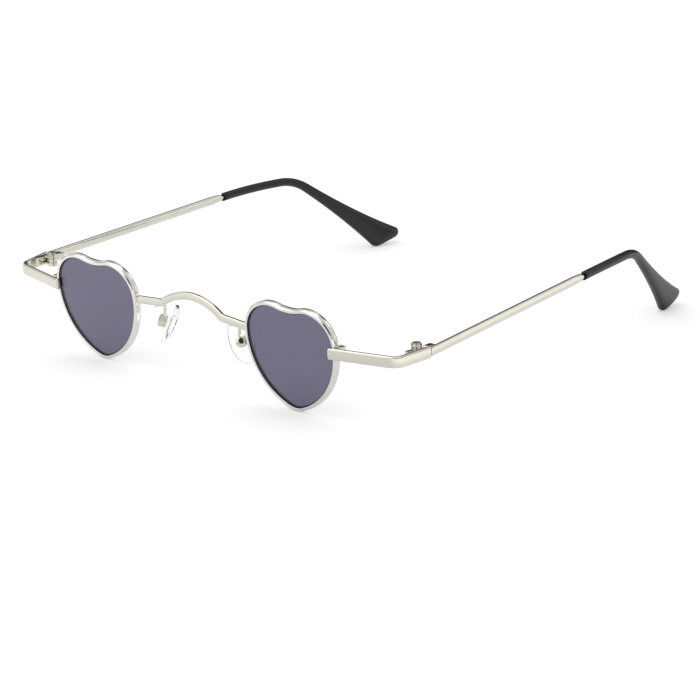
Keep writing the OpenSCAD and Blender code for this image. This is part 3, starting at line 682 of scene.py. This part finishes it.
# The lens's ground edge, unpolished and painted near black: painted shade that stands in for the
# shadow in the rim's groove. Through the face it shows as a black line inside the rim
lens_edge_shade = finish("lens_edge_painted_shade", ("#0E0D12", "#18161E"), (0.5, 0.65),
                ((0.5, 2), (0.3, 2), (0.15, 2)), (0.01,), IOR=1.58)
# Moulded black plastic: a soft satin gloss, with the fine orange peel of the mould
black = finish("moulded_black_plastic", ("#101011", "#151516"), (0.2, 0.27),
               ((4, 2), (0.8, 3), (0.5, 2)), (0.002,), IOR=1.5)
# Clear silicone: almost colourless, with a soft skin that blurs what is behind it
silicone = finish("clear_silicone", ("#FCFDFE", "#FFFFFF"), (0.04, 0.07),
                  ((3, 2), (1, 2), (3, 0)), (0.002,), IOR=1.33, **CLEAR)
# Clear hard plastic of the pad inserts: colourless, with a faint flow ripple. Its IOR is taken
# against the silicone that is moulded round it, where it nearly vanishes
acrylic = finish("clear_acrylic", ("#FCFDFD", "#FFFFFF"), (0.03, 0.08),
                 ((2, 2), (0.8, 2), (1, 1)), (0.002,), IOR=1.04, **CLEAR)


# Pieces
SHARP = math.radians(32)
NEARLY_FLAT = math.radians(1)
WELD = 0.002


def piece(name, mesh, materials, body, nodes, bevel=0):
    """Turns a solid into a finished piece that rides on its body."""
    data = bpy.data.meshes.new(name)
    mesh.to_mesh(data)
    mesh.free()
    for material in materials:
        data.materials.append(material)
    data.polygons.foreach_set("use_smooth", [True]*len(data.polygons))
    data.set_sharp_from_angle(angle=SHARP)
    made = bpy.data.objects.new(name, data)
    bpy.context.scene.collection.objects.link(made)
    if bevel:
        edges = made.modifiers.new("broken_edges", "BEVEL")
        edges.width, edges.segments = bevel*MM, 3
        edges.limit_method, edges.angle_limit = "ANGLE", SHARP
    even = made.modifiers.new("even_shading", "WEIGHTED_NORMAL")
    even.keep_sharp = True
    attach(made, body)
    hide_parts(*nodes)


def in_place(mesh, side):
    """Moves a solid drawn for the wearer's left into the frame, or mirrors it to the right."""
    flip = -1 if side == "right" else 1
    bmesh.ops.transform(mesh, verts=mesh.verts, matrix=Matrix.Diagonal((
        flip*MM, MM, MM, 1)) @ moved(0, -centre_y, 0))
    if flip < 0:
        bmesh.ops.reverse_faces(mesh, faces=mesh.faces)
    return mesh


def crowned(mesh, picked, lean):
    """Domes the largest face that is picked: rings drawn in from its edge, each less steep."""
    face = max((f for f in mesh.faces if picked(f.normal)), key=lambda f: f.calc_area())
    step = face.calc_area()/sum(edge.calc_length() for edge in face.edges)/3
    for share in (1, 0.75, 0.5, 0.25):
        bmesh.ops.inset_region(mesh, faces=[face], thickness=step,
                               depth=step*math.tan(math.radians(lean*share)))


def broken_edges(node):
    """A copy of a model node as clean faces, ready for its edges to be broken."""
    mesh = bmesh.new()
    mesh.from_mesh(frame["nodes"][node].data)
    bmesh.ops.remove_doubles(mesh, verts=mesh.verts, dist=WELD*MM)
    bmesh.ops.dissolve_limit(mesh, verts=mesh.verts, edges=mesh.edges, angle_limit=NEARLY_FLAT)
    if node.endswith("pad_box"):
        crowned(mesh, lambda n: n.y < -0.5, BOX_DOME)
    if node.endswith("rear_hinge_leaf"):
        crowned(mesh, lambda n: n.z > 0.9, LEAF_DOME)
    bmesh.ops.triangulate(mesh, faces=[f for f in mesh.faces if len(f.verts) > 4])
    return mesh


piece("bridge_bar", in_place(bridge_bar(), "left"), [nickel], "front", ["bridge"])
# Each drawn piece: its name, its shape, materials, body, slot, and the node that it replaces
drawn = [
    ("rim_wire", rim_wire, [white_nickel], "front", "plated_metal", "rim"),
    # The lens's second material is the near-black painted shade on its ground edge
    ("lens_disc", lens_disc, [smoke, lens_edge_shade], "front", "tinted_lens", "lens"),
    ("endpiece_bar", endpiece_bar, [nickel], "front", "plated_metal", "endpiece"),
    ("pad_arm_wire", pad_arm_wire, [nickel], "front", "plated_metal", "pad_arm"),
    ("nose_pad_shell", nose_pad, [silicone], "pad_body", "clear_pad", "nose_pad"),
    ("temple_bar", temple_bar, [nickel], "temple_body", "plated_metal", "temple"),
    ("temple_end", temple_tip, [black], "temple_body", "moulded_tip", "temple_tip"),
]
# Each piece with the model's own shape: node, material, body, slot, width of broken edges
copied = [
    ("closing_block", nickel, "front", "plated_metal", 0.1),
    ("closing_screw", steel, "front", "plated_metal", 0.05),
    ("pad_box", nickel, "front", "plated_metal", 0.07),
    ("pad_screw", steel, "front", "plated_metal", 0.04),
    ("pad_insert", acrylic, "pad_body", "clear_insert", 0.06),
    ("front_hinge_leaf", nickel, "front", "plated_metal", 0.1),
    ("hinge_screw", steel, "front", "plated_metal", 0.06),
    ("rear_hinge_leaf", nickel, "temple_body", "plated_metal", 0.22),
]
for side in ("left", "right"):
    for name, make, material, body, slot, node in drawn:
        body = body if body == "front" else f"{side}_{body}"
        piece(f"{side}_{name}", in_place(make(), side), material, body, [f"{side}_{node}"])
    for node, material, body, slot, width in copied:
        body = body if body == "front" else f"{side}_{body}"
        piece(f"{side}_{node}_finished", broken_edges(f"{side}_{node}"), [material], body,
              [f"{side}_{node}"], width)


# Studio: a white table in a white tent
TABLE_SIZE = 0.9
TABLE_GLOW = 0.38
# The table as metal mirrors it: from where to where it brightens towards the wearer's left and
# right, in mm from the middle, and its level at either end
LEFT_SPAN = 74, 140
LEFT_LEVELS = 0.08, 0.4
RIGHT_SPAN = 10, -90
RIGHT_LEVELS = 0, 0.16
# The tent as metal mirrors it: the height and level of its hem, and its openings
HEM_SPAN = 0.01, 0.15
HEM_LEVELS = 0.3, 0.62
# Each opening: name, compass angle from the back (+Y) towards +X, height angle, the radii where
# it ends inside and outside its soft edge, level
OPENINGS = (("front_window", 205, 28, 28, 38, 1.1), ("upper_window", 24, 41, 9, 13, 1.1),
            ("low_behind", -8, 13, 19, 23, 0.12), ("window", 42, 9, 9, 13, 0.85),
            ("behind", -40, 19, 11, 15, 0.04), ("above", -2, 43, 7.5, 11, 0.05),
            ("front", 138, 28, 17, 22, 0.03))
SOFT_SHADE = 0.65


def white_table():
    """Matt white paper that glows a little to the camera, so that it shows as plain white."""
    material = bpy.data.materials.new("white_table")
    material.use_nodes = True
    tree = material.node_tree
    tree.nodes.clear()
    light = add(tree, "LightPath")
    seen = add(tree, "Math", {0: light.outputs["Is Camera Ray"],
                              1: light.outputs["Is Glossy Ray"]},
               operation="MAXIMUM").outputs[0]
    seen = add(tree, "Math", {0: seen, 1: light.outputs["Is Transmission Ray"]},
               operation="MAXIMUM").outputs[0]
    paper = add(tree, "BsdfDiffuse", {"Color": colour("#E8E8E8")})
    # In reflections the table grows brighter away from the glasses on either side, so that both
    # endpieces and the sides of the temples are as bright as the front
    place = add(tree, "SeparateXYZ", {0: add(tree, "TexCoord").outputs["Object"]})
    to_left, to_right = (add(tree, "MapRange", {
        "Value": place.outputs["X"], "From Min": span[0]*MM, "From Max": span[1]*MM,
        "To Min": levels[0], "To Max": levels[1]}).outputs["Result"]
        for span, levels in ((LEFT_SPAN, LEFT_LEVELS), (RIGHT_SPAN, RIGHT_LEVELS)))
    around = add(tree, "Math", {0: to_left, 1: to_right}, operation="ADD").outputs[0]
    # A ray that has passed through a clear part counts as glossy too, but sees the plain table
    mirrored = add(tree, "Math", {0: light.outputs["Is Glossy Ray"],
                                  1: light.outputs["Is Transmission Ray"]},
                   operation="SUBTRACT", use_clamp=True).outputs[0]
    tone = add(tree, "Mix", {"Factor": mirrored, 2: TABLE_GLOW, 3: around},
               data_type="FLOAT").outputs[0]
    glow = add(tree, "Emission", {"Color": colour("#FFFFFF"), "Strength": add(
        tree, "Math", {0: seen, 1: tone}, operation="MULTIPLY").outputs[0]})
    both = add(tree, "AddShader", {0: paper.outputs[0], 1: glow.outputs[0]})
    add(tree, "OutputMaterial", {"Surface": both.outputs[0]})
    return material


table_mesh = bmesh.new()
bmesh.ops.create_grid(table_mesh, x_segments=8, y_segments=8, size=TABLE_SIZE)
table_data = bpy.data.meshes.new("table")
table_mesh.to_mesh(table_data)
table_mesh.free()
table_data.materials.append(white_table())
table = bpy.data.objects.new("table", table_data)
bpy.context.scene.collection.objects.link(table)


def tent():
    """World light: white to the camera and through clear parts, even for soft shade, and for
    reflections a white tent with bright windows, dark openings and a grey hem along the table,
    which polished metal shows as fine lines."""
    world = bpy.data.worlds.new("tent")
    world.use_nodes = True
    tree = world.node_tree
    tree.nodes.clear()
    place = add(tree, "TexCoord").outputs["Generated"]
    height_z = add(tree, "SeparateXYZ", {0: place}).outputs["Z"]
    hem = add(tree, "MapRange", {
        "Value": height_z, "From Min": HEM_SPAN[0], "From Max": HEM_SPAN[1],
        "To Min": HEM_LEVELS[0], "To Max": HEM_LEVELS[1]}, interpolation_type="SMOOTHSTEP")
    shown = hem.outputs["Result"]
    for name, compass, height, inner, outer, level in OPENINGS:
        toward = Vector((sind(compass)*cosd(height), cosd(compass)*cosd(height), sind(height)))
        facing = add(tree, "VectorMath", {0: place, 1: toward}, operation="DOT_PRODUCT")
        inside = add(tree, "MapRange", {
            "Value": facing.outputs["Value"], "From Min": cosd(outer), "From Max": cosd(inner)},
            interpolation_type="SMOOTHSTEP", label=name)
        shown = add(tree, "Mix", {"Factor": inside.outputs["Result"], 6: shown,
                                  7: (level, level, level, 1)}, data_type="RGBA").outputs[2]
    light = add(tree, "LightPath")
    plain = add(tree, "Math", {0: light.outputs["Is Camera Ray"],
                               1: light.outputs["Is Transmission Ray"]}, operation="MAXIMUM")
    soft = add(tree, "Mix", {"Factor": light.outputs["Is Glossy Ray"],
                             6: (SOFT_SHADE, SOFT_SHADE, SOFT_SHADE, 1), 7: shown},
               data_type="RGBA")
    final = add(tree, "Mix", {"Factor": plain.outputs[0], 6: soft.outputs[2],
                              7: (1, 1, 1, 1)}, data_type="RGBA")
    back = add(tree, "Background", {"Color": final.outputs[2], "Strength": 1})
    add(tree, "OutputWorld", {"Surface": back.outputs[0]})
    return world


bpy.context.scene.world = tent()

LAMP_PLACE = Vector((-0.35, -0.25, 1.3))
LAMP_SIZE = 1.7
LAMP_WATTS = 6
lamp_data = bpy.data.lights.new("overhead_softbox", "AREA")
lamp_data.energy, lamp_data.size = LAMP_WATTS, LAMP_SIZE
lamp = bpy.data.objects.new("overhead_softbox", lamp_data)
lamp.location = LAMP_PLACE
lamp.rotation_euler = LAMP_PLACE.to_track_quat("Z", "Y").to_euler()
bpy.context.scene.collection.objects.link(lamp)

# Camera: to the wearer's left of the front and a little above, through a long lens
CAMERA_AZIMUTH = 40.225
CAMERA_ELEVATION = 17.271
CAMERA_ROLL = 0.17
CAMERA_DISTANCE = 774.6
CAMERA_LENS = 147.16
AIM_X = 21.679
AIM_Y = 40
AIM_Z = 5.28
aim = Vector((AIM_X, AIM_Y - centre_y, AIM_Z))
back = Vector((sind(CAMERA_AZIMUTH)*cosd(CAMERA_ELEVATION),
               -cosd(CAMERA_AZIMUTH)*cosd(CAMERA_ELEVATION), sind(CAMERA_ELEVATION)))
right = Vector((cosd(CAMERA_AZIMUTH), sind(CAMERA_AZIMUTH), 0))
stand = Matrix((right, back.cross(right), back)).transposed().to_4x4() @ spun(CAMERA_ROLL, "Z")
camera_data = bpy.data.cameras.new("camera")
camera_data.lens = CAMERA_LENS
camera_data.clip_start, camera_data.clip_end = 0.01, 100
camera = bpy.data.objects.new("camera", camera_data)
camera.matrix_world = Matrix.Translation((aim + back*CAMERA_DISTANCE)*MM) @ stand
bpy.context.scene.collection.objects.link(camera)
bpy.context.scene.camera = camera
bpy.context.scene.view_settings.view_transform = "Standard"
